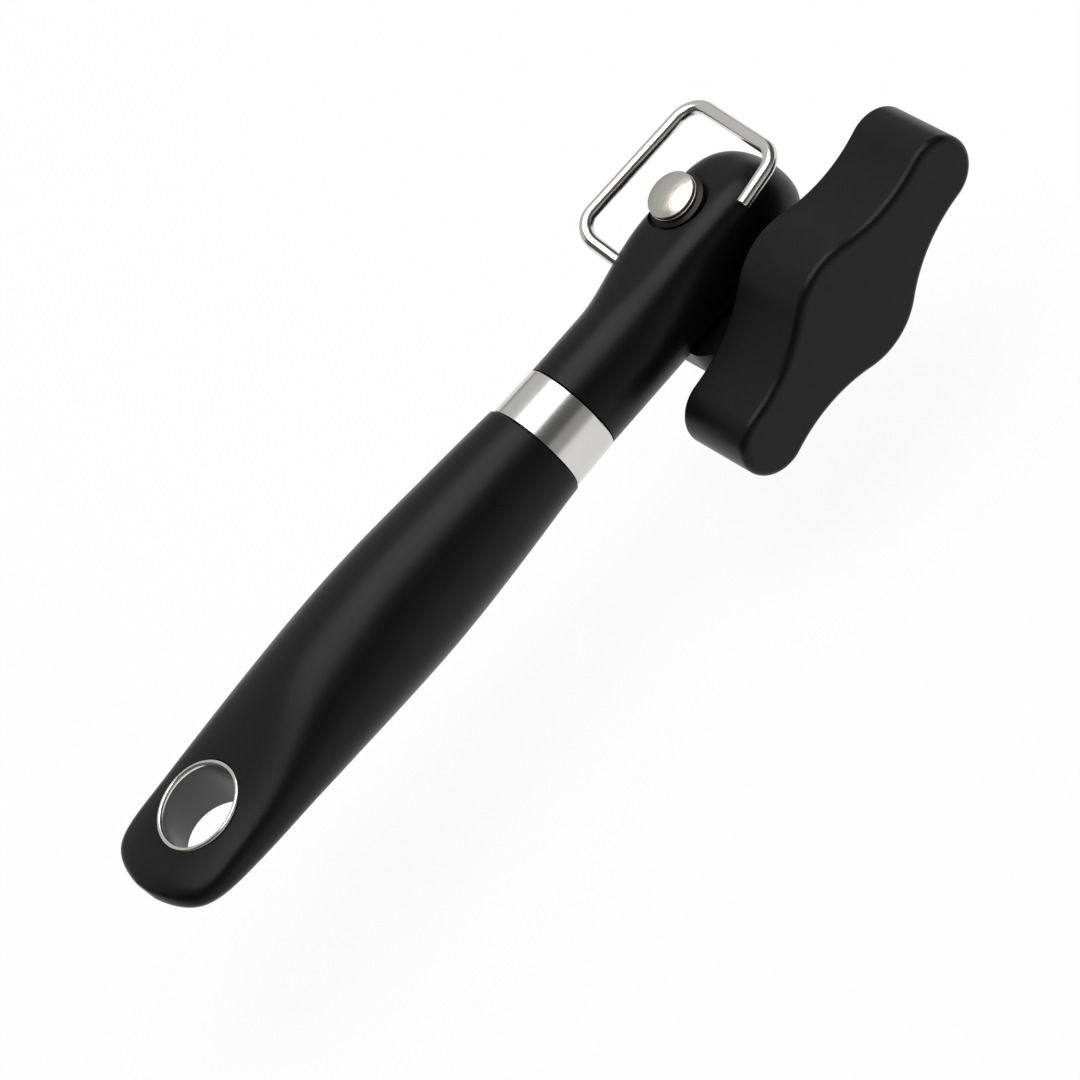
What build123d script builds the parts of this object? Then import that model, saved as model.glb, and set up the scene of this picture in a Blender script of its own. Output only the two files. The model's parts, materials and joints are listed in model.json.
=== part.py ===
from build123d import *
import math
import os

# Manual can opener with a long grip, a rounded head, a wavy side knob and a wire bow.
# X runs from the hang hole towards the head, +Z is the cutter's side, and the knob is on the -Y side.
# The origin is the centre of the hang hole. Sizes are in millimetres.

# Grip: stations along X as (x, half width, rise, drop); the section is squarest at the hang hole
GRIP_STATIONS = [
    (-19.5, 3.3, 2.0, 0.8),
    (-18.9, 6.5, 2.5, 1.4),
    (-17.6, 10.4, 3.1, 2.4),
    (-15.3, 13.7, 3.6, 3.9),
    (-11.5, 15.6, 3.9, 5.4),
    (-6.0, 16.2, 4.4, 6.6),
    (0.0, 16.3, 5.1, 7.3),
    (7.0, 16.4, 6.3, 7.8),
    (14.0, 16.2, 8.1, 8.7),
    (22.0, 15.8, 10.4, 10.3),
    (32.0, 15.3, 12.7, 12.0),
    (44.0, 15.1, 14.0, 13.1),
    (56.0, 14.6, 14.5, 13.9),
    (68.0, 14.0, 14.1, 13.9),
    (80.0, 13.3, 13.3, 13.2),
    (90.0, 12.6, 12.7, 12.4),
    (100.0, 11.9, 11.9, 11.7),
]
GRIP_SQUARE = 0.8
GRIP_SQUARE_REACH = 22.0
GRIP_FRONT = GRIP_STATIONS[-1][0]
GRIP_EDGE = 0.3

# Hang hole
HOLE_R = 9.0
RING_IN_R = 9.1
RING_OUT_R = 10.1
RING_HEIGHT = 1.0
RING_PROUD = 0.4
RING_CROWN = 0.45
RING_TILT = 8.0
RING_Z = 5.1

# Core of the handle and the tang that it holds
CORE_WIDTH = 18.0
CORE_BACK = 7.0
CORE_THIN = 6.4
CORE_STEP = 52.0
CORE_THICK = 15.0
CORE_CORNER = 3.0
SPIGOT_R = 9.4
SPIGOT_BACK = GRIP_FRONT - 4.0
SPIGOT_SPLIT = 106.0
TANG_RIVET_R = 2.0
TANG_RIVET_X = (70.0, 86.0)

# Ferrule
FERRULE_END = 111.9
FERRULE_BACK_R = 11.4
FERRULE_FRONT_R = 11.15
FERRULE_LIP = 0.25
SEAM_GAP = 0.3

# Head: a round neck that swells into a squarer top and closes in a rounded nose
HEAD_X = (
    113.5, 116, 119, 122, 125, 129, 134, 139, 144, 149, 154, 159, 164, 168, 171, 173.5, 175.5, 176.8, 177.5,
)
NECK_R = 11.05
SWELL_START = 127.0
SWELL_LENGTH = 25.0
SWELL_RISE = 2.3
SWELL_SQUARE = 1.9
NOSE_START = 155.0
NOSE_LENGTH = 22.7
NOSE_DROP = 2.3
NOSE_FLAT = 4
NOSE_ROUND = 2.2

# Drive train on the knob's axis
AXLE_X = 161.6
AXLE_Z = -6.0
AXLE_R = 3.0
ECCENTRICITY = 1.2
REST_ANGLE = -40.0
CARRIER_X = AXLE_X - ECCENTRICITY * math.cos(math.radians(REST_ANGLE))
CARRIER_Z = AXLE_Z - ECCENTRICITY * math.sin(math.radians(REST_ANGLE))
CARRIER_R = 5.0
CARRIER_TURN = 80.0
RUNNING_GAP = 0.05
BUSH_R = 6.4
BUSH_FLANGE_R = 8.0
BUSH_FLANGE = 1.0
GEAR_FACE = 11.3
KNOB_FACE = 10.6
BUSH_LENGTH = 4.6
LUG_REACH = 8.0
LUG_HALF_ANGLE = 11.0
LUG_WIDTH = 5.0
LUG_MIDDLE = 270.0 - CARRIER_TURN / 2
LUG_GAP = 0.5
LUG_STOP = LUG_HALF_ANGLE + 4.0
DRIVE_BORE = 30.0
DRIVE_CHANNEL = 12.0

# Lower gear case
SPLIT_Z = CARRIER_Z
CASE_BACK = 136.1
CASE_FRONT = 174.0
CASE_LEFT = 9.6
CASE_RIGHT = 15.4
CASE_BOTTOM = -14.0
CASE_SHELF = -6.6
CASE_CORNER = 6.0
CASE_EDGE = 1.5
SCREW_X = (142.5, 171.0)
SCREW_R = 1.5
SCREW_HEAD_R = 2.8
SCREW_HEAD = 1.6
SCREW_SINK = 0.6
SCREW_TOP = 2.0
CROSS_LENGTH = 3.2
CROSS_WIDTH = 0.7
CROSS_DEPTH = 0.9

# Chassis plate inside the head, with its tang in the handle
PLATE_LOW = 4.0
PLATE = 2.0
TANG_BACK = 60.0
TANG_WIDTH = 9.0
PLATE_BACK = 117.0
PLATE_FRONT = 166.5
PLATE_WIDTH = 14.0
PLATE_CORNER = 3.0
PLATE_NECK = 8.0
WIRE_NOTCH_R = 3.95
CAVITY_LEFT = 6.2
CAVITY_RIGHT = 4.6

# Drive gear
GEAR_TIP_R = 12.0
GEAR_ROOT_R = 11.2
GEAR_TEETH = 40
GEAR_WIDTH = 2.8
GEAR_BACK = 12.2
SPACER_R = 4.2
SPACER_GAP = 0.35
NUT_WIDTH = 8.0
NUT_HEIGHT = 3.2
NUT_WASHER_R = 5.0
NUT_WASHER = 0.8
AXLE_GEAR_END = GEAR_BACK + GEAR_WIDTH + NUT_WASHER + NUT_HEIGHT + 0.6
AXLE_CHAMFER = 0.5

# Knob, measured along -Y from the grip's centre plane
KNOB_BACK = 17.6
KNOB_FRONT = 37.7
KNOB_TURN = 13.0
LOBE_R = 8.3
LOBE_REACH = 31.3
BULGE_R = 15.7
WAIST_R = 33.0
KNOB_RIM = 1.7
KNOB_BACK_RIM = 0.8
KNOB_WALL = 3.0
COVER = 2.0
BOSS_WALL = 2.2
HUB_R = 6.0
HUB_BACK = 11.6
HUB_FRONT = 32.0
HUB_SQUARE = 4.2
HUB_SQUARE_START = 22.0
KNOB_PIN_R = 1.0
KNOB_PIN_BACK = 15.0
KNOB_PIN_SINK = 0.3
THRUST_R = 5.2
THRUST = 0.6

# Cutter on the head's top, with its axis leaning back towards the handle
CUTTER_X = 157.2
CUTTER_Y = 2.8
CUTTER_SEAT_Z = 12.15
CUTTER_LEAN = 8.0
SEAT_R = 7.3
SEAT_DEPTH = 6.0
WASHER_R = 5.6
WASHER = 0.5
WHEEL_R = 6.4
WHEEL = 1.5
WHEEL_HUB_R = 5.2
WHEEL_HUB = 0.3
WHEEL_EDGE = 0.25
WHEEL_BEVEL = 1.1
SLEEVE_R = 3.6
RIVET_R = 2.4
RIVET_BORE = 16.0
FLANGE_R = 5.65
FLANGE = 0.5
GROOVE_R = 4.9
GROOVE = 0.35
DOME_R = 5.5
DOME_RIM = 0.5
DOME = 1.2
RIVET_EDGE = 0.15
CUTTER_CLEAR = 0.12
RIVET_WASHER = 0.8
RIVET_WASHER_R = 3.3
RIVET_TAIL = 1.0

# Wire bow: corners of its middle line, from the end that lies on the head's shoulder
WIRE_R = 1.55
WIRE_BEND = 5.0
WIRE_END_EDGE = 0.3
WIRE_PEG_R = 1.25
WIRE_PEG = 5.0
WIRE_PEG_X = 165.1
WIRE_PEG_TILT = 56.0
WIRE_ROUTE = [
    (163.5, -10.2, 11.2),
    (176.2, -9.3, 12.4),
    (178.2, 20.2, 12.5),
    (141.5, 21.0, 12.5),
    (141.6, 5.6, 4.4),
]


def oval(width, up, down, square_up, square_down, middle):
    """Sixteen points round a superellipse whose upper and lower halves differ in height and squareness."""
    points = []
    for step in range(16):
        angle = math.radians(22.5 * step)
        upper = step <= 8
        power = 2 / (square_up if upper else square_down)
        height = up if upper else down
        across = math.copysign(abs(math.cos(angle)) ** power, math.cos(angle))
        rise = math.copysign(abs(math.sin(angle)) ** power, math.sin(angle))
        points.append((across * width, middle + rise * height))
    return points


def save(piece, name):
    """Label a finished piece and write it as one node."""
    piece.part.label = name
    export_step(piece.part, f"parts/{name}.step")


def polar(radius, degrees):
    """A point in the drive plane, from the carrier's centre."""
    angle = math.radians(degrees)
    return (CARRIER_X + radius * math.cos(angle), CARRIER_Z + radius * math.sin(angle))


os.makedirs("parts", exist_ok=True)

# Working planes
slope = math.radians(RING_TILT)
lean = math.radians(CUTTER_LEAN)
ring_plane = Plane((0, 0, RING_Z), x_dir=(math.cos(slope), 0, math.sin(slope)),
                   z_dir=(-math.sin(slope), 0, math.cos(slope)))
cutter_plane = Plane((CUTTER_X, CUTTER_Y, CUTTER_SEAT_Z), x_dir=(math.cos(lean), 0, math.sin(lean)),
                     z_dir=(-math.sin(lean), 0, math.cos(lean)))
axle_spot = (AXLE_X, AXLE_Z)
carrier_spot = (CARRIER_X, CARRIER_Z)

# Hang ring: a steel bead that follows the sloping face round the hole
ring_seat = ring_plane.offset(RING_PROUD - RING_HEIGHT)
with BuildPart() as hang_ring:
    with BuildSketch(Plane.XY):
        Circle(RING_OUT_R)
        Circle(RING_IN_R, mode=Mode.SUBTRACT)
    extrude(amount=CORE_THICK)
    split(bisect_by=ring_plane.offset(RING_PROUD), keep=Keep.BOTTOM)
    split(bisect_by=ring_seat, keep=Keep.TOP)
    fillet(hang_ring.faces().filter_by(GeomType.PLANE).sort_by(Axis.Z)[-1].edges(), radius=RING_CROWN)
save(hang_ring, "hang_ring")

# Outer form of the grip
with BuildPart() as grip_form:
    for x, width, rise, drop in GRIP_STATIONS:
        square = GRIP_SQUARE * math.exp(-(x / GRIP_SQUARE_REACH) ** 2)
        with BuildSketch(Plane.YZ.offset(x)):
            with BuildLine():
                Spline(*oval(width, rise, drop, 2 + square, 2 + square / 2, 0), periodic=True)
            make_face()
    loft()

# Chassis plate and tang
with BuildPart() as chassis_plate:
    with BuildSketch(Plane.XY.offset(PLATE_LOW)):
        with Locations(((TANG_BACK + PLATE_BACK) / 2, 0)):
            Rectangle(PLATE_BACK - TANG_BACK, TANG_WIDTH)
        with Locations(((PLATE_BACK + PLATE_FRONT) / 2, 0)):
            RectangleRounded(PLATE_FRONT - PLATE_BACK, PLATE_WIDTH, PLATE_CORNER)
        with Locations((PLATE_BACK, 0)):
            Rectangle(PLATE_NECK, TANG_WIDTH)
        with Locations((TANG_RIVET_X[0], 0), (TANG_RIVET_X[1], 0)):
            Circle(TANG_RIVET_R, mode=Mode.SUBTRACT)
        with Locations((SCREW_X[0], WIRE_ROUTE[4][1])):
            Circle(WIRE_NOTCH_R, mode=Mode.SUBTRACT)
    extrude(amount=PLATE)
    with BuildSketch(cutter_plane):
        Circle(RIVET_R)
    extrude(amount=-RIVET_BORE, mode=Mode.SUBTRACT)
save(chassis_plate, "chassis_plate")

# Core: a bar inside the grip, an eye whose wall is the hang hole, and a round spigot in the ferrule
with BuildPart() as core_blank:
    add(grip_form.part)
    with BuildSketch(Plane.XY.offset(-CORE_THICK)):
        Circle(RING_OUT_R)
    extrude(amount=2 * CORE_THICK, mode=Mode.INTERSECT)
    with BuildSketch(Plane.YZ.offset(CORE_BACK)):
        Rectangle(CORE_WIDTH, CORE_THIN)
    extrude(amount=CORE_STEP - CORE_BACK)
    with BuildSketch(Plane.YZ.offset(CORE_STEP)):
        RectangleRounded(CORE_WIDTH, CORE_THICK, CORE_CORNER)
    extrude(amount=SPIGOT_BACK - CORE_STEP)
    with BuildSketch(Plane.YZ.offset(SPIGOT_BACK)):
        Circle(SPIGOT_R)
    extrude(amount=SPIGOT_SPLIT - SPIGOT_BACK)

with BuildPart() as handle_core:
    add(core_blank.part)
    with BuildSketch(Plane.XY.offset(-CORE_THICK)):
        Circle(HOLE_R)
    extrude(amount=2 * CORE_THICK, mode=Mode.SUBTRACT)
    with BuildSketch(Plane.XY.offset(PLATE_LOW)):
        with Locations(((TANG_BACK + SPIGOT_SPLIT) / 2, 0)):
            Rectangle(SPIGOT_SPLIT - TANG_BACK, TANG_WIDTH)
    extrude(amount=PLATE, mode=Mode.SUBTRACT)
    with BuildSketch(Plane.XY.offset(-CORE_THICK)):
        with Locations((TANG_RIVET_X[0], 0), (TANG_RIVET_X[1], 0)):
            Circle(TANG_RIVET_R)
    extrude(amount=2 * CORE_THICK, mode=Mode.SUBTRACT)
    with BuildSketch(ring_seat):
        Circle(2 * RING_OUT_R)
    extrude(amount=CORE_THICK, mode=Mode.SUBTRACT)
save(handle_core, "handle_core")

with BuildPart() as handle_grip:
    add(grip_form.part)
    add(core_blank.part, mode=Mode.SUBTRACT)
    fillet(handle_grip.faces().sort_by(Axis.X)[-1].edges().sort_by(SortBy.LENGTH)[-1:], radius=GRIP_EDGE)
save(handle_grip, "handle_grip")

# Two rivets hold the tang in the core
with BuildPart() as tang_rivets:
    with BuildSketch(Plane.XY.offset(-CORE_THICK / 2)):
        with Locations((TANG_RIVET_X[0], 0), (TANG_RIVET_X[1], 0)):
            Circle(TANG_RIVET_R)
    extrude(amount=CORE_THICK)
save(tang_rivets, "tang_rivets")

# Ferrule: a slightly tapered steel sleeve with rolled edges
with BuildPart() as ferrule:
    with BuildSketch(Plane.XZ):
        with BuildLine():
            Polyline(
                (GRIP_FRONT + SEAM_GAP, SPIGOT_R),
                (GRIP_FRONT + SEAM_GAP, FERRULE_BACK_R),
                (FERRULE_END, FERRULE_FRONT_R),
                (FERRULE_END, SPIGOT_R),
                close=True,
            )
        make_face()
    revolve(axis=Axis.X)
    outside = ferrule.edges().filter_by(GeomType.CIRCLE).sort_by(SortBy.RADIUS)[-2:]
    fillet(outside, radius=FERRULE_LIP)
save(ferrule, "ferrule")

# Wire bow: one bent steel wire, one end set in the head and the other pegged to its shoulder
peg_tilt = math.radians(WIRE_PEG_TILT)
peg_share = (WIRE_PEG_X - WIRE_ROUTE[0][0]) / (WIRE_ROUTE[1][0] - WIRE_ROUTE[0][0])
peg_spot = Vector(*WIRE_ROUTE[0]) + (Vector(*WIRE_ROUTE[1]) - Vector(*WIRE_ROUTE[0])) * peg_share
with BuildPart() as wire_bow:
    with BuildLine() as wire_line:
        FilletPolyline(*WIRE_ROUTE, radius=WIRE_BEND)
    with BuildSketch(Plane(wire_line.line @ 0, z_dir=wire_line.line % 0)):
        Circle(WIRE_R)
    sweep()
    fillet(wire_bow.faces().sort_by_distance(WIRE_ROUTE[0])[0].edges(), radius=WIRE_END_EDGE)
    with BuildSketch(Plane(peg_spot, z_dir=(0, math.sin(peg_tilt), -math.cos(peg_tilt)))):
        Circle(WIRE_PEG_R)
    extrude(amount=WIRE_PEG)
save(wire_bow, "wire_bow")

# Outer form of the head, with half spigots that the ferrule holds together
with BuildPart() as head_form:
    for x in (FERRULE_END + SEAM_GAP, *HEAD_X):
        along = min(max((x - SWELL_START) / SWELL_LENGTH, 0), 1)
        swell = along ** 2 * (3 - 2 * along)
        nose = (1 - max((x - NOSE_START) / NOSE_LENGTH, 0) ** NOSE_FLAT) ** (1 / NOSE_ROUND)
        side = NECK_R * nose
        up = side + SWELL_RISE * swell * nose
        square = 2 + SWELL_SQUARE * swell * nose ** 2
        with BuildSketch(Plane.YZ.offset(x)):
            with BuildLine():
                Spline(*oval(side, up, side, square, 2, NOSE_DROP * (nose - 1)), periodic=True)
            make_face()
    loft()
    with BuildSketch(Plane.YZ.offset(SPIGOT_SPLIT + SEAM_GAP)):
        Circle(SPIGOT_R)
    extrude(amount=FERRULE_END - SPIGOT_SPLIT)

# Room for the drive: bush bores through the head, flange recesses and a channel for the knob's hub
with BuildPart() as drive_room:
    for start, length, radius in (
        (-GEAR_FACE - BUSH_FLANGE, DRIVE_BORE, BUSH_R),
        (-GEAR_FACE - BUSH_FLANGE, 2 * BUSH_FLANGE, BUSH_FLANGE_R),
        (KNOB_FACE - BUSH_FLANGE, DRIVE_CHANNEL, BUSH_FLANGE_R),
    ):
        with BuildSketch(Plane.XZ.offset(start)):
            with Locations(carrier_spot):
                Circle(radius)
        extrude(amount=length)

# Upper shell: roof and sides of the head, with the cutter's seat and room for the chassis and the drive
with BuildPart() as head_upper_shell:
    add(head_form.part)
    split(bisect_by=Plane.XY.offset(SPLIT_Z), keep=Keep.TOP)
    with BuildSketch(Plane.XY.offset(SPLIT_Z)):
        with Locations(((PLATE_BACK + PLATE_FRONT) / 2, (CAVITY_LEFT - CAVITY_RIGHT) / 2)):
            Rectangle(PLATE_FRONT - PLATE_BACK, CAVITY_LEFT + CAVITY_RIGHT)
        with Locations((SCREW_X[0], 0)):
            Circle(SCREW_HEAD_R, mode=Mode.SUBTRACT)
    extrude(amount=PLATE_LOW - SPLIT_Z, mode=Mode.SUBTRACT)
    add(chassis_plate.part, mode=Mode.SUBTRACT)
    with BuildSketch(cutter_plane):
        Circle(SEAT_R)
    extrude(amount=SEAT_DEPTH, mode=Mode.SUBTRACT)
    with BuildSketch(cutter_plane):
        Circle(RIVET_R)
    extrude(amount=-RIVET_BORE, mode=Mode.SUBTRACT)
    add(drive_room.part, mode=Mode.SUBTRACT)
    with BuildSketch(Plane.XY.offset(SPLIT_Z)):
        with Locations((SCREW_X[0], 0), (SCREW_X[1], 0)):
            Circle(SCREW_R)
    extrude(amount=SCREW_TOP - SPLIT_Z, mode=Mode.SUBTRACT)
    add(wire_bow.part, mode=Mode.SUBTRACT)
save(head_upper_shell, "head_upper_shell")

# Lower gear case: the head's underside with a block that reaches towards the knob
with BuildPart() as head_gear_case:
    add(head_form.part)
    split(bisect_by=Plane.XY.offset(SPLIT_Z), keep=Keep.BOTTOM)
    with BuildSketch(Plane.XY.offset(CASE_BOTTOM)):
        with Locations(((CASE_BACK + CASE_FRONT) / 2, (CASE_LEFT - CASE_RIGHT) / 2)):
            RectangleRounded(CASE_FRONT - CASE_BACK, CASE_LEFT + CASE_RIGHT, CASE_CORNER)
    extrude(amount=CASE_SHELF - CASE_BOTTOM)
    fillet(head_gear_case.faces().sort_by(Axis.Z)[0].edges(), radius=CASE_EDGE)
    add(drive_room.part, mode=Mode.SUBTRACT)
    with BuildSketch(Plane.XZ.offset(-LUG_WIDTH / 2 - LUG_GAP)):
        Polygon(
            carrier_spot,
            polar(LUG_REACH + LUG_GAP, LUG_MIDDLE - LUG_STOP),
            polar(2 * LUG_REACH, LUG_MIDDLE),
            polar(2 * LUG_REACH, LUG_MIDDLE + CARRIER_TURN),
            polar(LUG_REACH + LUG_GAP, LUG_MIDDLE + CARRIER_TURN + LUG_STOP),
            align=None,
        )
        with Locations(carrier_spot):
            Circle(LUG_REACH + LUG_GAP, mode=Mode.INTERSECT)
    extrude(amount=LUG_WIDTH + 2 * LUG_GAP, mode=Mode.SUBTRACT)
    for screw_x in SCREW_X:
        with BuildSketch(Plane.XY.offset(CASE_BOTTOM)):
            with Locations((screw_x, 0)):
                Circle(SCREW_R)
        extrude(amount=SCREW_TOP - CASE_BOTTOM, mode=Mode.SUBTRACT)
        with BuildSketch(Plane.XY.offset(CASE_BOTTOM)):
            with Locations((screw_x, 0)):
                Circle(SCREW_HEAD_R)
        extrude(amount=SCREW_HEAD + SCREW_SINK, mode=Mode.SUBTRACT)
save(head_gear_case, "head_gear_case")

# Screws that close the gear case, with cross slots in their heads
SCREW_HEAD_LOW = CASE_BOTTOM + SCREW_SINK
SCREW_SPOTS = [(screw_x, 0) for screw_x in SCREW_X]
with BuildPart() as case_screws:
    with BuildSketch(Plane.XY.offset(SCREW_HEAD_LOW)):
        with Locations(*SCREW_SPOTS):
            Circle(SCREW_HEAD_R)
    extrude(amount=SCREW_HEAD)
    with BuildSketch(Plane.XY.offset(SCREW_HEAD_LOW + SCREW_HEAD)):
        with Locations(*SCREW_SPOTS):
            Circle(SCREW_R)
    extrude(amount=SCREW_TOP - SCREW_HEAD_LOW - SCREW_HEAD)
    with BuildSketch(Plane.XY.offset(SCREW_HEAD_LOW)):
        with Locations(*SCREW_SPOTS):
            Rectangle(CROSS_LENGTH, CROSS_WIDTH)
            Rectangle(CROSS_WIDTH, CROSS_LENGTH)
    extrude(amount=CROSS_DEPTH, mode=Mode.SUBTRACT)
save(case_screws, "case_screws")

# Flanged bushes in the head's two sides
for name, face, side in (("bush_gear_side", -GEAR_FACE, 1), ("bush_knob_side", KNOB_FACE, -1)):
    with BuildPart() as bush:
        with BuildSketch(Plane.XZ.offset(face)):
            with Locations(carrier_spot):
                Circle(BUSH_FLANGE_R)
                Circle(CARRIER_R + RUNNING_GAP, mode=Mode.SUBTRACT)
        extrude(amount=side * BUSH_FLANGE)
        with BuildSketch(Plane.XZ.offset(face)):
            with Locations(carrier_spot):
                Circle(BUSH_R)
                Circle(CARRIER_R + RUNNING_GAP, mode=Mode.SUBTRACT)
        extrude(amount=side * BUSH_LENGTH)
    save(bush, name)

# Eccentric carrier: a sleeve with an off-centre bore and a stop lug
with BuildPart() as eccentric_carrier:
    with BuildSketch(Plane.XZ.offset(-GEAR_FACE)):
        with Locations(carrier_spot):
            Circle(CARRIER_R)
    extrude(amount=GEAR_FACE + KNOB_FACE)
    with BuildSketch(Plane.XZ.offset(-LUG_WIDTH / 2)):
        Polygon(
            carrier_spot,
            polar(LUG_REACH + 1, LUG_MIDDLE - LUG_HALF_ANGLE),
            polar(LUG_REACH + 1, LUG_MIDDLE + LUG_HALF_ANGLE),
            align=None,
        )
        with Locations(carrier_spot):
            Circle(LUG_REACH, mode=Mode.INTERSECT)
    extrude(amount=LUG_WIDTH)
    with BuildSketch(Plane.XZ.offset(-GEAR_FACE)):
        with Locations(axle_spot):
            Circle(AXLE_R + RUNNING_GAP)
    extrude(amount=GEAR_FACE + KNOB_FACE, mode=Mode.SUBTRACT)
save(eccentric_carrier, "eccentric_carrier")

# Axle with a square end for the knob's hub
with BuildPart() as drive_axle:
    with BuildSketch(Plane.XZ.offset(-AXLE_GEAR_END)):
        with Locations(axle_spot):
            Circle(AXLE_R)
    extrude(amount=AXLE_GEAR_END + HUB_SQUARE_START)
    with BuildSketch(Plane.XZ.offset(HUB_SQUARE_START)):
        with Locations(axle_spot):
            Rectangle(HUB_SQUARE, HUB_SQUARE)
    extrude(amount=HUB_FRONT - HUB_SQUARE_START)
    with BuildSketch(Plane.XY.offset(AXLE_Z - 2 * HUB_R)):
        with Locations((AXLE_X, -KNOB_PIN_BACK)):
            Circle(KNOB_PIN_R)
    extrude(amount=4 * HUB_R, mode=Mode.SUBTRACT)
    chamfer(drive_axle.edges().group_by(Axis.Y)[-1], length=AXLE_CHAMFER)
save(drive_axle, "drive_axle")

# Drive gear: a flat wheel with fine pointed teeth
tooth_ring = []
for step in range(2 * GEAR_TEETH):
    angle = math.pi * step / GEAR_TEETH
    radius = GEAR_TIP_R if step % 2 == 0 else GEAR_ROOT_R
    tooth_ring.append((radius * math.cos(angle), radius * math.sin(angle)))
with BuildPart() as drive_gear:
    with BuildSketch(Plane.XZ.offset(-GEAR_BACK)):
        with Locations(axle_spot):
            Polygon(*tooth_ring, align=None)
            Circle(AXLE_R, mode=Mode.SUBTRACT)
    extrude(amount=-GEAR_WIDTH)
save(drive_gear, "drive_gear")

# Rings on the axle: spacer and washer beside the gear, thrust washer behind the knob's hub
for name, start, thickness, radius in (
    ("gear_spacer", -GEAR_BACK, GEAR_BACK - GEAR_FACE - SPACER_GAP, SPACER_R),
    ("gear_washer", -GEAR_BACK - GEAR_WIDTH - NUT_WASHER, NUT_WASHER, NUT_WASHER_R),
    ("thrust_washer", HUB_BACK - THRUST, THRUST, THRUST_R),
):
    with BuildPart() as axle_ring:
        with BuildSketch(Plane.XZ.offset(start)):
            with Locations(axle_spot):
                Circle(radius)
                Circle(AXLE_R, mode=Mode.SUBTRACT)
        extrude(amount=thickness)
    save(axle_ring, name)

with BuildPart() as gear_nut:
    with BuildSketch(Plane.XZ.offset(-GEAR_BACK - GEAR_WIDTH - NUT_WASHER)):
        with Locations(axle_spot):
            RegularPolygon(NUT_WIDTH / 2, 6, major_radius=False)
            Circle(AXLE_R, mode=Mode.SUBTRACT)
    extrude(amount=-NUT_HEIGHT)
save(gear_nut, "gear_nut")

# Knob hub: a square-bored insert inside the knob
with BuildPart() as knob_hub:
    with BuildSketch(Plane.XZ.offset(HUB_BACK)):
        with Locations(axle_spot):
            Circle(HUB_R)
    extrude(amount=HUB_FRONT - HUB_BACK)
    with BuildSketch(Plane.XZ.offset(HUB_BACK)):
        with Locations(axle_spot):
            Circle(AXLE_R)
    extrude(amount=HUB_SQUARE_START - HUB_BACK, mode=Mode.SUBTRACT)
    with BuildSketch(Plane.XZ.offset(HUB_SQUARE_START)):
        with Locations(axle_spot):
            Rectangle(HUB_SQUARE, HUB_SQUARE)
    extrude(amount=HUB_FRONT - HUB_SQUARE_START, mode=Mode.SUBTRACT)
    with BuildSketch(Plane.XY.offset(AXLE_Z - 2 * HUB_R)):
        with Locations((AXLE_X, -KNOB_PIN_BACK)):
            Circle(KNOB_PIN_R)
    extrude(amount=4 * HUB_R, mode=Mode.SUBTRACT)
save(knob_hub, "knob_hub")

with BuildPart() as knob_pin:
    with BuildSketch(Plane.XY.offset(AXLE_Z - HUB_R + KNOB_PIN_SINK)):
        with Locations((AXLE_X, -KNOB_PIN_BACK)):
            Circle(KNOB_PIN_R)
    extrude(amount=2 * (HUB_R - KNOB_PIN_SINK))
save(knob_pin, "knob_pin")


def wave(inset):
    """Sketch the knob's outline set in by a wall: a round middle and two lobes, joined by hollow waists."""
    lobe = LOBE_R - inset
    bulge = BULGE_R - inset
    waist = WAIST_R + inset
    waist_x = ((bulge + waist) ** 2 - (lobe + waist) ** 2 + LOBE_REACH ** 2) / (2 * LOBE_REACH)
    waist_y = math.sqrt((bulge + waist) ** 2 - waist_x ** 2)
    bulge_x = waist_x * bulge / (bulge + waist)
    bulge_y = waist_y * bulge / (bulge + waist)
    lobe_x = LOBE_REACH + (waist_x - LOBE_REACH) * lobe / (lobe + waist)
    lobe_y = waist_y * lobe / (lobe + waist)
    half = [(lobe_x, -lobe_y), (lobe_x, lobe_y), (bulge_x, bulge_y)]
    mirrored = [(-x, y) for x, y in reversed(half)]
    Polygon(*half, *mirrored, (-bulge_x, -bulge_y), (bulge_x, -bulge_y), align=None)
    Circle(bulge)
    with Locations((LOBE_REACH, 0), (-LOBE_REACH, 0)):
        Circle(lobe)
    with GridLocations(2 * waist_x, 2 * waist_y, 2, 2):
        Circle(waist, mode=Mode.SUBTRACT)


# Knob shell: hollow from the back, with a boss round the hub
turn = math.radians(KNOB_TURN)
knob_plane = Plane((AXLE_X, 0, AXLE_Z), x_dir=(math.cos(turn), 0, math.sin(turn)), z_dir=(0, -1, 0))
with BuildPart() as knob_shell:
    with BuildSketch(knob_plane.offset(KNOB_BACK)):
        wave(0)
    extrude(amount=KNOB_FRONT - KNOB_BACK)
    fillet(knob_shell.faces().sort_by(Axis.Y)[0].edges(), radius=KNOB_RIM)
    fillet(knob_shell.faces().sort_by(Axis.Y)[-1].edges(), radius=KNOB_BACK_RIM)
    with BuildSketch(knob_plane.offset(KNOB_BACK)):
        wave(KNOB_WALL)
        Circle(HUB_R + BOSS_WALL, mode=Mode.SUBTRACT)
    extrude(amount=KNOB_FRONT - KNOB_BACK - KNOB_WALL, mode=Mode.SUBTRACT)
    with BuildSketch(knob_plane.offset(KNOB_BACK)):
        Circle(HUB_R)
    extrude(amount=HUB_FRONT - KNOB_BACK, mode=Mode.SUBTRACT)
save(knob_shell, "knob_shell")

# Cover that closes the knob's back
with BuildPart() as knob_cover:
    with BuildSketch(knob_plane.offset(KNOB_BACK)):
        wave(KNOB_WALL)
        Circle(HUB_R + BOSS_WALL, mode=Mode.SUBTRACT)
    extrude(amount=COVER)
save(knob_cover, "knob_cover")

# Cutter stack, from its seat upwards: washer, wheel on a sleeve, domed rivet
with BuildPart() as cutter_washer:
    with BuildSketch(cutter_plane):
        Circle(WASHER_R)
        Circle(RIVET_R, mode=Mode.SUBTRACT)
    extrude(amount=WASHER)
save(cutter_washer, "cutter_washer")

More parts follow.
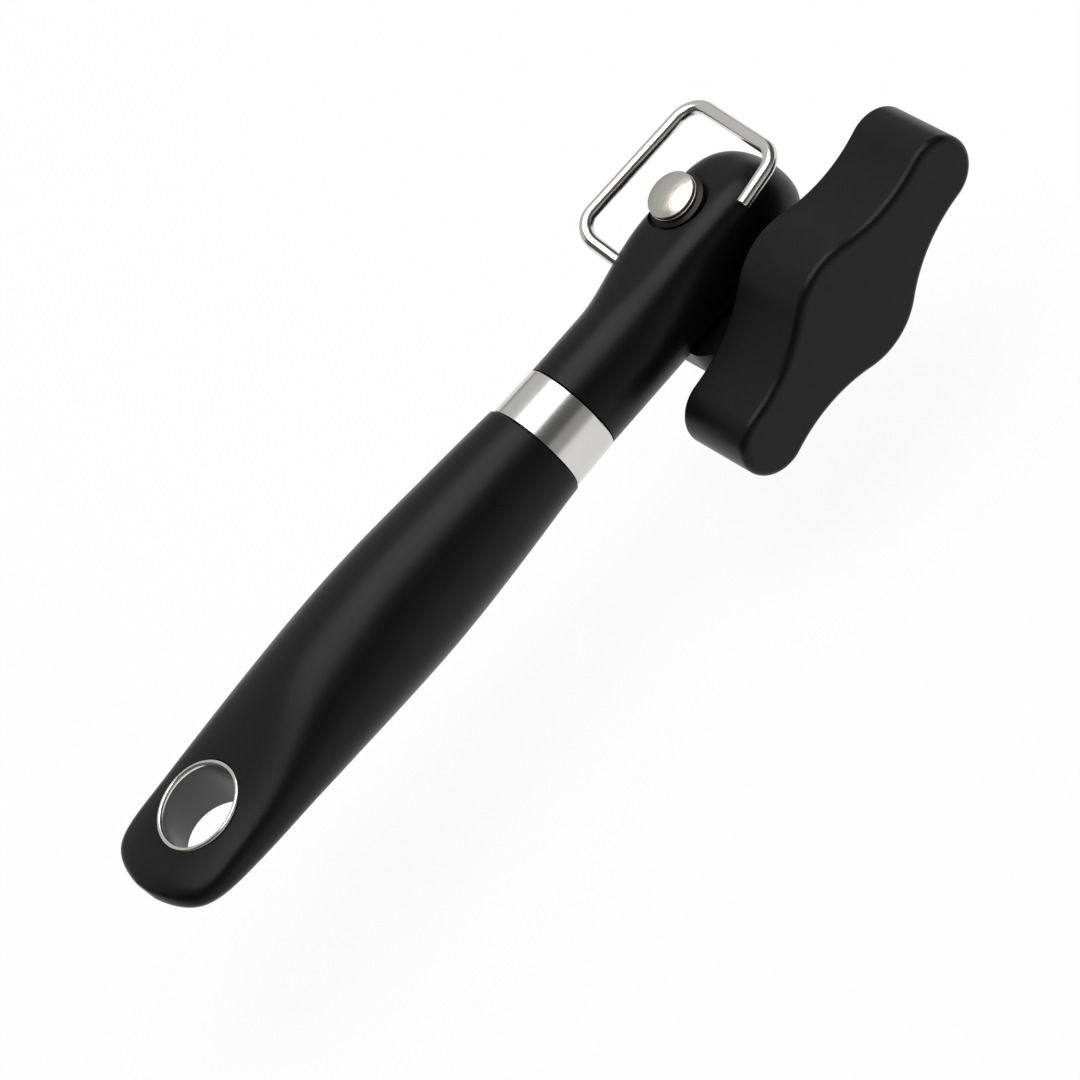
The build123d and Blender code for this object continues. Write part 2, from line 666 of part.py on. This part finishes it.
wheel_low = WASHER + CUTTER_CLEAR
wheel_top = wheel_low + WHEEL + WHEEL_HUB
with BuildPart() as cutter_wheel:
    with BuildSketch(cutter_plane.offset(wheel_low)):
        Circle(WHEEL_R)
        Circle(SLEEVE_R, mode=Mode.SUBTRACT)
    extrude(amount=WHEEL)
    chamfer(cutter_wheel.edges().filter_by(GeomType.CIRCLE).sort_by(SortBy.RADIUS)[-2:],
            length=(WHEEL - WHEEL_EDGE) / 2, length2=WHEEL_BEVEL)
    with BuildSketch(cutter_plane.offset(wheel_low + WHEEL)):
        Circle(WHEEL_HUB_R)
        Circle(SLEEVE_R, mode=Mode.SUBTRACT)
    extrude(amount=WHEEL_HUB)
save(cutter_wheel, "cutter_wheel")

with BuildPart() as cutter_sleeve:
    with BuildSketch(cutter_plane.offset(wheel_low)):
        Circle(SLEEVE_R)
        Circle(RIVET_R + RUNNING_GAP, mode=Mode.SUBTRACT)
    extrude(amount=WHEEL + WHEEL_HUB)
save(cutter_sleeve, "cutter_sleeve")

flange_low = wheel_top + CUTTER_CLEAR
groove_low = flange_low + FLANGE
rim_low = groove_low + GROOVE
dome_low = rim_low + DOME_RIM
dome_sphere = (DOME_R ** 2 + DOME ** 2) / (2 * DOME)
shank_end = (PLATE_LOW - CUTTER_SEAT_Z - RIVET_WASHER) / math.cos(lean) - RIVET_TAIL
with BuildPart() as cutter_rivet:
    with BuildSketch(Plane(cutter_plane.origin, x_dir=cutter_plane.x_dir, z_dir=-cutter_plane.y_dir)):
        with BuildLine():
            Polyline(
                (0, shank_end),
                (RIVET_R, shank_end),
                (RIVET_R, flange_low),
                (FLANGE_R, flange_low),
                (FLANGE_R, groove_low),
                (GROOVE_R, groove_low),
                (GROOVE_R, rim_low),
                (DOME_R, rim_low),
                (DOME_R, dome_low),
            )
            RadiusArc((DOME_R, dome_low), (0, dome_low + DOME), -dome_sphere)
            Line((0, dome_low + DOME), (0, shank_end))
        make_face()
    revolve(axis=Axis(cutter_plane.origin, cutter_plane.z_dir))
    fillet(cutter_rivet.edges().filter_by(GeomType.CIRCLE).sort_by(SortBy.RADIUS)[-4:], radius=RIVET_EDGE)
save(cutter_rivet, "cutter_rivet")

# Washer that the rivet's lower end is set against
tail_x = CUTTER_X + (CUTTER_SEAT_Z - PLATE_LOW) * math.tan(lean)
with BuildPart() as rivet_washer:
    with BuildSketch(Plane.XY.offset(PLATE_LOW - RIVET_WASHER)):
        with Locations((tail_x, CUTTER_Y)):
            Circle(RIVET_WASHER_R)
    extrude(amount=RIVET_WASHER)
    with BuildSketch(cutter_plane):
        Circle(RIVET_R)
    extrude(amount=shank_end - RIVET_TAIL, mode=Mode.SUBTRACT)
save(rivet_washer, "rivet_washer")
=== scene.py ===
"""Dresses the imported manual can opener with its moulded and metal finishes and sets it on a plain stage."""

import json
import math

import bpy
from mathutils import Matrix, Vector

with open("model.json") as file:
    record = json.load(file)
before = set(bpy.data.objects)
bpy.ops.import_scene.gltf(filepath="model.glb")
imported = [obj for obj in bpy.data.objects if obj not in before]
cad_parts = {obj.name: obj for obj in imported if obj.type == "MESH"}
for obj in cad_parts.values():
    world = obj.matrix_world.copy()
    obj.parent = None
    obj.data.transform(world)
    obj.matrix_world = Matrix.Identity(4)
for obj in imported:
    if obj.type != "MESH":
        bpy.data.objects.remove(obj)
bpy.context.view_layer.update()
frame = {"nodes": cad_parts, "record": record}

bl_info = {
    "name": "Can Opener Dresser",
    "version": (1, 1, 0),
    "blender": (4, 5, 0),
    "location": "View3D > Sidebar > Opener",
    "description": "Finishes and stage for a manual can opener",
    "category": "Object",
}

MM = 0.001

# The photo's width in pixels, the camera's sensor in millimetres and its clipping range in metres
PICTURE = 1080
SENSOR = 36
CLIP_START = 0.01
CLIP_END = 20

# Soft boxes: name, centre, width and height in metres, tilt about X in degrees
SOFT_BOXES = (
    ("top_box", (0.3, 0.035, 0.8), (0.92, 0.71), 0),
    ("back_box", (0.1, 0.98, 0.7), (3.0, 1.28), -55),
    ("front_box", (0.1, -1.4, 0.36), (3.0, 0.72), 90),
)
STUDIO_GLOW = 0.1
FLOOR_REACH = 3.0

# Black plastics: share of the usual reflection, depth of the grain, paler patches and change of roughness
PLASTIC_REFLECTION = 0.17
GRAIN_DEPTH = 0.02 * MM
GRAIN_STRENGTH = 0.08
PATCH_PALE = 1.35
PATCH_ROUGHNESS = 0.04

# Moulded nylon: paler flow marks, and their size across and along the hole
FLOW_PALE = 1.3
FLOW_SIZE = (2 * MM, 2 * MM, 12 * MM)

SLOTS = {row["node"]: row["material_slot"] for row in frame["record"]["subparts"]}


def linear(hex_colour):
    """An sRGB hex colour as linear RGBA: the sRGB curve undone channel by channel."""
    values = [int(hex_colour[i:i + 2], 16) / 255 for i in (0, 2, 4)]
    return tuple(v / 12.92 if v <= 0.04045 else ((v + 0.055) / 1.055) ** 2.4 for v in values) + (1.0,)


def add_node(tree, kind, settings=None, **inputs):
    """Adds a node; settings are its own properties, inputs are values or the sockets that feed them.
    An input is named as on the node, with _ for a space, or by its number after a _."""
    made = tree.nodes.new(kind)
    for name, value in (settings or {}).items():
        setattr(made, name, value)
    for name, value in inputs.items():
        socket = made.inputs[int(name[1:]) if name[1:].isdigit() else name.replace("_", " ")]
        if isinstance(value, bpy.types.NodeSocket):
            tree.links.new(value, socket)
        else:
            socket.default_value = value
    return made


def new_finish(name):
    """An empty node material and its tree."""
    finish = bpy.data.materials.new(name)
    finish.use_nodes = True
    finish.node_tree.nodes.clear()
    return finish, finish.node_tree


def close_finish(tree, shader):
    """Joins the surface shader to the material's output."""
    add_node(tree, "ShaderNodeOutputMaterial", Surface=shader.outputs[0])


class OpenerFinishes(bpy.types.PropertyGroup):
    """Colours and textures of the opener's materials."""

    grip_colour: bpy.props.StringProperty(
        name="Grip colour", description="sRGB hex of the soft grip", default="0F0F10")
    shell_colour: bpy.props.StringProperty(
        name="Shell colour", description="sRGB hex of the head and the knob", default="0E0E0F")
    core_colour: bpy.props.StringProperty(
        name="Core colour", description="sRGB hex of the hang hole's wall", default="474748")
    grip_roughness: bpy.props.FloatProperty(
        name="Grip roughness", description="Softness of the grip's sheen",
        default=0.36, min=0, max=1, subtype="FACTOR")
    shell_roughness: bpy.props.FloatProperty(
        name="Shell roughness", description="Softness of the head's and the knob's sheen",
        default=0.34, min=0, max=1, subtype="FACTOR")
    grain_size: bpy.props.FloatProperty(
        name="Grain size", description="Mould grain of the black plastics",
        default=0.3 * MM, min=0.05 * MM, unit="LENGTH")
    brush_pitch: bpy.props.FloatProperty(
        name="Brush pitch", description="Distance between the ferrule's brushed rings",
        default=0.15 * MM, min=0.02 * MM, unit="LENGTH")


class OpenerStage(bpy.types.PropertyGroup):
    """Camera, lights and floor."""

    lens: bpy.props.FloatProperty(
        name="Lens", description="Focal length on a 36 mm sensor", default=200.0, min=10, unit="CAMERA")
    pixels_per_mm: bpy.props.FloatProperty(
        name="Pixels per mm", description="Scale of the photo at the hang hole", default=4.977, min=0.1)
    hole_x: bpy.props.FloatProperty(
        name="Hole X", description="Image column of the hang hole's centre", default=210.745)
    hole_y: bpy.props.FloatProperty(
        name="Hole Y", description="Image row of the hang hole's centre", default=818.861)
    azimuth: bpy.props.FloatProperty(
        name="Azimuth", description="Camera's bearing from the knob side",
        default=math.radians(-12.574), subtype="ANGLE")
    elevation: bpy.props.FloatProperty(
        name="Elevation", description="Camera's height above the handle's plane",
        default=math.radians(43.314), subtype="ANGLE")
    roll: bpy.props.FloatProperty(
        name="Roll", description="Turn of the picture about the view axis",
        default=math.radians(40.129), subtype="ANGLE")
    top_power: bpy.props.FloatProperty(
        name="Top box", description="Power of the overhead soft box", default=6.8, min=0, unit="POWER")
    back_power: bpy.props.FloatProperty(
        name="Back box", description="Power of the soft box behind the opener", default=6.6, min=0, unit="POWER")
    front_power: bpy.props.FloatProperty(
        name="Front box", description="Power of the low soft box on the knob side",
        default=2.0, min=0, unit="POWER")
    floor_colour: bpy.props.StringProperty(
        name="Floor colour", description="sRGB hex of the floor", default="FFFFFF")
    floor_drop: bpy.props.FloatProperty(
        name="Floor depth", description="Depth of the floor below the hang hole, clear of the turning knob",
        default=47 * MM, min=0, unit="LENGTH")
    floor_glow: bpy.props.FloatProperty(
        name="Floor white", description="Share of plain white in the floor as the camera and the metal see it",
        default=0.93, min=0, max=1, subtype="FACTOR")


def black_plastic(name, colour, roughness, grain_size, patch_size):
    """A black moulding: fine noise of the tool's grain as bump, and a broad noise that shifts the gloss and
    the black itself a little, as skin and wiping leave it."""
    finish, tree = new_finish(name)
    place = add_node(tree, "ShaderNodeTexCoord")
    grain = add_node(tree, "ShaderNodeTexNoise", Vector=place.outputs["Object"], Scale=1 / grain_size, Detail=2.0)
    patch = add_node(tree, "ShaderNodeTexNoise", Vector=place.outputs["Object"], Scale=1 / patch_size, Detail=4.0)
    black = linear(colour)
    pale = tuple(PATCH_PALE * channel for channel in black[:3]) + (1.0,)
    tone = add_node(tree, "ShaderNodeMix", {"data_type": "RGBA"}, _0=patch.outputs["Fac"], _6=black, _7=pale)
    rough = add_node(tree, "ShaderNodeMapRange", Value=patch.outputs["Fac"],
                     To_Min=roughness - PATCH_ROUGHNESS, To_Max=roughness + PATCH_ROUGHNESS)
    bump = add_node(tree, "ShaderNodeBump", Height=grain.outputs["Fac"],
                    Strength=GRAIN_STRENGTH, Distance=GRAIN_DEPTH)
    shader = add_node(tree, "ShaderNodeBsdfPrincipled", Base_Color=tone.outputs[2], IOR=1.5,
                      Specular_IOR_Level=PLASTIC_REFLECTION, Roughness=rough.outputs[0], Normal=bump.outputs[0])
    close_finish(tree, shader)
    return finish


def soft_touch_elastomer(look):
    """Soft-touch thermoplastic elastomer moulded over a hard core: a matt black skin whose grain spreads
    each highlight into a wide dim band."""
    return black_plastic("soft_touch_elastomer", look.grip_colour, look.grip_roughness, look.grain_size, 14 * MM)


def moulded_abs(look):
    """Moulded ABS with a fine satin texture: deep black with a soft clear highlight along each rounded edge."""
    return black_plastic("moulded_abs", look.shell_colour, look.shell_roughness, look.grain_size, 11 * MM)


def moulded_nylon(look):
    """Moulded nylon: a smooth dark grey wall with a soft sheen and faint flow marks along the hole."""
    finish, tree = new_finish("moulded_nylon")
    place = add_node(tree, "ShaderNodeTexCoord")
    stretch = add_node(tree, "ShaderNodeMapping", Vector=place.outputs["Object"],
                       Scale=tuple(1 / size for size in FLOW_SIZE))
    flow = add_node(tree, "ShaderNodeTexNoise", Vector=stretch.outputs[0], Scale=1.0, Detail=3.0)
    grey = linear(look.core_colour)
    pale = tuple(FLOW_PALE * channel for channel in grey[:3]) + (1.0,)
    tone = add_node(tree, "ShaderNodeMix", {"data_type": "RGBA"}, _0=flow.outputs["Fac"], _6=grey, _7=pale)
    rough = add_node(tree, "ShaderNodeMapRange", Value=flow.outputs["Fac"], To_Min=0.3, To_Max=0.42)
    shader = add_node(tree, "ShaderNodeBsdfPrincipled", Base_Color=tone.outputs[2], IOR=1.53,
                      Roughness=rough.outputs[0])
    close_finish(tree, shader)
    return finish


def metal(name, colour, roughness, grain, depth, strength):
    """A metal surface: noise stretched to the grain's three sizes moves the roughness between two values
    and lifts the surface by a few hundredths of a millimetre."""
    finish, tree = new_finish(name)
    place = add_node(tree, "ShaderNodeTexCoord")
    stretch = add_node(tree, "ShaderNodeMapping", Vector=place.outputs["Object"],
                       Scale=tuple(1 / (size * MM) for size in grain))
    marks = add_node(tree, "ShaderNodeTexNoise", Vector=stretch.outputs[0], Scale=1.0, Detail=4.0)
    rough = add_node(tree, "ShaderNodeMapRange", Value=marks.outputs["Fac"],
                     To_Min=roughness[0], To_Max=roughness[1])
    bump = add_node(tree, "ShaderNodeBump", Height=marks.outputs["Fac"], Strength=strength, Distance=depth * MM)
    shader = add_node(tree, "ShaderNodeBsdfPrincipled", Base_Color=linear(colour), Metallic=1.0,
                      Roughness=rough.outputs[0], Normal=bump.outputs[0])
    close_finish(tree, shader)
    return finish


def polished_stainless(look):
    """Polished stainless steel: clear bright reflections, slightly broken by buffing marks."""
    return metal("polished_stainless", "D8D7D4", (0.12, 0.22), (1.6, 0.7, 0.7), 0.01, 0.05)


def brushed_stainless(look):
    """Stainless steel brushed round the sleeve: fine rings that soften reflections without showing as lines."""
    pitch = look.brush_pitch / MM
    return metal("brushed_stainless", "D2D1CF", (0.19, 0.27), (pitch, 9.0, 9.0), 0.01, 0.03)


def satin_nickel(look):
    """Nickel-plated steel, tumbled and pressed: a slightly warm silver whose soft waves bend the reflections."""
    return metal("satin_nickel", "C2BEB6", (0.24, 0.38), (2.2, 1.3, 2.2), 0.25, 0.3)


def milled_steel(look):
    """Zinc-plated milled steel: pale grey with faint turning marks."""
    return metal("milled_steel", "B4B4B2", (0.28, 0.45), (0.6, 0.6, 0.6), 0.02, 0.1)


def black_oxide_and_shade_steel(look):
    """Hardened steel under black oxide: a near-black metal with a dull oily sheen. The near-black is partly painted
    shade: it darkens the cutter wheel beneath the domed rivet so that it stands for the shade falling there.
    """
    return metal("black_oxide_and_shade_steel", "343332", (0.32, 0.5), (0.6, 0.6, 0.6), 0.02, 0.1)


def sintered_bronze(look):
    """Sintered bronze: a brown-gold metal with fine open pores, drawn coarser than they are so that they show."""
    return metal("sintered_bronze", "9A7844", (0.35, 0.55), (0.3, 0.3, 0.3), 0.03, 0.25)


SLOT_FINISHES = {
    "soft_black": soft_touch_elastomer,
    "black_plastic": moulded_abs,
    "grey_plastic": moulded_nylon,
    "polished_steel": polished_stainless,
    "brushed_steel": brushed_stainless,
    "satin_steel": satin_nickel,
    "plain_steel": milled_steel,
    # dark_steel: black oxide whose near-black is partly painted shade on the cutter wheel
    "dark_steel": black_oxide_and_shade_steel,
    "bronze": sintered_bronze,
}


def dress(context, names):
    """Gives each named CAD node the finish of its material slot, made once and then shared."""
    look = context.scene.opener_finishes
    for name in names:
        make = SLOT_FINISHES[SLOTS[name]]
        finish = bpy.data.materials.get(make.__name__) or make(look)
        slots = frame["nodes"][name].data.materials
        slots.clear()
        slots.append(finish)
    return {"FINISHED"}


class OPENER_OT_handle(bpy.types.Operator):
    """Dress the grip, its core, the hang ring, the tang and the ferrule"""

    bl_idname = "opener.handle"
    bl_label = "Dress Handle"

    def execute(self, context):
        return dress(context, ("handle_grip", "handle_core", "hang_ring", "tang_rivets", "chassis_plate", "ferrule"))


class OPENER_OT_head(bpy.types.Operator):
    """Dress the head's shells, their screws and bushes, and the wire bow"""

    bl_idname = "opener.head"
    bl_label = "Dress Head"

    def execute(self, context):
        return dress(context, ("head_upper_shell", "head_gear_case", "case_screws", "bush_gear_side",
                               "bush_knob_side", "wire_bow"))


class OPENER_OT_cutter(bpy.types.Operator):
    """Dress the cutter wheel, its sleeve and washers, and the domed rivet"""

    bl_idname = "opener.cutter"
    bl_label = "Dress Cutter"

    def execute(self, context):
        return dress(context, ("cutter_wheel", "cutter_sleeve", "cutter_washer", "cutter_rivet", "rivet_washer"))


class OPENER_OT_drive(bpy.types.Operator):
    """Dress the carrier, the axle, the gear and the rings beside it"""

    bl_idname = "opener.drive"
    bl_label = "Dress Drive"

    def execute(self, context):
        return dress(context, ("eccentric_carrier", "drive_axle", "drive_gear", "gear_spacer", "gear_washer",
                               "gear_nut", "thrust_washer"))


class OPENER_OT_knob(bpy.types.Operator):
    """Dress the knob, its cover, hub and pin"""

    bl_idname = "opener.knob"
    bl_label = "Dress Knob"

    def execute(self, context):
        return dress(context, ("knob_shell", "knob_cover", "knob_hub", "knob_pin"))


class OPENER_OT_stage(bpy.types.Operator):
    """Add the camera, the lights and the floor"""

    bl_idname = "opener.stage"
    bl_label = "Add Stage"

    def execute(self, context):
        stage = context.scene.opener_stage
        self.add_camera(context.scene, stage)
        self.add_lights(context.scene, stage)
        self.add_floor(context.scene, stage)
        context.scene.view_settings.view_transform = "Standard"
        return {"FINISHED"}

    def add_camera(self, scene, stage):
        """Stands the camera so that the hang hole falls on its pixel at the photo's scale."""
        lens = bpy.data.cameras.new("photo_camera")
        lens.sensor_width = SENSOR
        lens.lens = stage.lens
        lens.clip_start = CLIP_START
        lens.clip_end = CLIP_END
        camera = bpy.data.objects.new("photo_camera", lens)
        scene.collection.objects.link(camera)
        level = math.cos(stage.elevation)
        back = Vector((level * math.sin(stage.azimuth), -level * math.cos(stage.azimuth), math.sin(stage.elevation)))
        level_right = Vector((0, 0, 1)).cross(back).normalized()
        level_up = back.cross(level_right)
        right = level_right * math.cos(stage.roll) - level_up * math.sin(stage.roll)
        up = level_right * math.sin(stage.roll) + level_up * math.cos(stage.roll)
        depth = stage.lens / SENSOR * PICTURE / stage.pixels_per_mm
        across = (stage.hole_x - PICTURE / 2) / stage.pixels_per_mm
        rise = (PICTURE / 2 - stage.hole_y) / stage.pixels_per_mm
        spot = (back * depth - right * across - up * rise) * MM
        camera.matrix_world = Matrix((
            (right.x, up.x, back.x, spot.x),
            (right.y, up.y, back.y, spot.y),
            (right.z, up.z, back.z, spot.z),
            (0, 0, 0, 1)))
        scene.camera = camera

    def add_lights(self, scene, stage):
        """An overhead soft box, a tall one behind, a low one in front, and a dim grey studio round them."""
        powers = (stage.top_power, stage.back_power, stage.front_power)
        for (name, spot, size, tilt), power in zip(SOFT_BOXES, powers):
            lamp = bpy.data.lights.new(name, "AREA")
            lamp.shape = "RECTANGLE"
            lamp.size, lamp.size_y = size
            lamp.energy = power
            holder = bpy.data.objects.new(name, lamp)
            scene.collection.objects.link(holder)
            holder.location = spot
            holder.rotation_euler = (math.radians(tilt), 0, 0)
        world = bpy.data.worlds.new("studio_world")
        world.use_nodes = True
        tree = world.node_tree
        tree.nodes.clear()
        glow = add_node(tree, "ShaderNodeBackground", Color=(1, 1, 1, 1), Strength=STUDIO_GLOW)
        add_node(tree, "ShaderNodeOutputWorld", Surface=glow.outputs[0])
        scene.world = world

    def add_floor(self, scene, stage):
        """A white board under the opener, wide enough to fill the picture."""
        low = -stage.floor_drop
        mesh = bpy.data.meshes.new("floor")
        corners = [(x * FLOOR_REACH, y * FLOOR_REACH, low) for x, y in ((-1, -1), (1, -1), (1, 1), (-1, 1))]
        mesh.from_pydata(corners, [], [(0, 1, 2, 3)])
        floor = bpy.data.objects.new("floor", mesh)
        scene.collection.objects.link(floor)
        finish, tree = new_finish("white_board")
        path = add_node(tree, "ShaderNodeLightPath")
        seen = add_node(tree, "ShaderNodeMath", {"operation": "MAXIMUM"},
                        _0=path.outputs["Is Camera Ray"], _1=path.outputs["Is Glossy Ray"])
        shown = add_node(tree, "ShaderNodeMath", {"operation": "MAXIMUM"},
                         _0=seen.outputs[0], _1=path.outputs["Is Transmission Ray"])
        share = add_node(tree, "ShaderNodeMath", {"operation": "MULTIPLY"}, _0=shown.outputs[0], _1=stage.floor_glow)
        paper = add_node(tree, "ShaderNodeBsdfDiffuse", Color=linear(stage.floor_colour))
        glow = add_node(tree, "ShaderNodeEmission", Color=(1, 1, 1, 1), Strength=1.0)
        mixed = add_node(tree, "ShaderNodeMixShader", _0=share.outputs[0], _1=paper.outputs[0], _2=glow.outputs[0])
        close_finish(tree, mixed)
        mesh.materials.append(finish)


class OPENER_PT_panel(bpy.types.Panel):
    """The opener's steps and values"""

    bl_idname = "OPENER_PT_panel"
    bl_label = "Can Opener"
    bl_space_type = "VIEW_3D"
    bl_region_type = "UI"
    bl_category = "Opener"

    def draw(self, context):
        for operator in OPERATORS:
            self.layout.operator(operator.bl_idname)
        for group in (context.scene.opener_finishes, context.scene.opener_stage):
            for name in group.__annotations__:
                self.layout.prop(group, name)


OPERATORS = (OPENER_OT_handle, OPENER_OT_head, OPENER_OT_cutter, OPENER_OT_drive, OPENER_OT_knob, OPENER_OT_stage)
CLASSES = (OpenerFinishes, OpenerStage) + OPERATORS + (OPENER_PT_panel,)


def register():
    for item in CLASSES:
        bpy.utils.register_class(item)
    bpy.types.Scene.opener_finishes = bpy.props.PointerProperty(type=OpenerFinishes)
    bpy.types.Scene.opener_stage = bpy.props.PointerProperty(type=OpenerStage)


def unregister():
    del bpy.types.Scene.opener_stage
    del bpy.types.Scene.opener_finishes
    for item in reversed(CLASSES):
        bpy.utils.unregister_class(item)


def main():
    register()
    bpy.ops.opener.handle()
    bpy.ops.opener.head()
    bpy.ops.opener.cutter()
    bpy.ops.opener.drive()
    bpy.ops.opener.knob()
    bpy.ops.opener.stage()


if __name__ == "__main__":
    main()
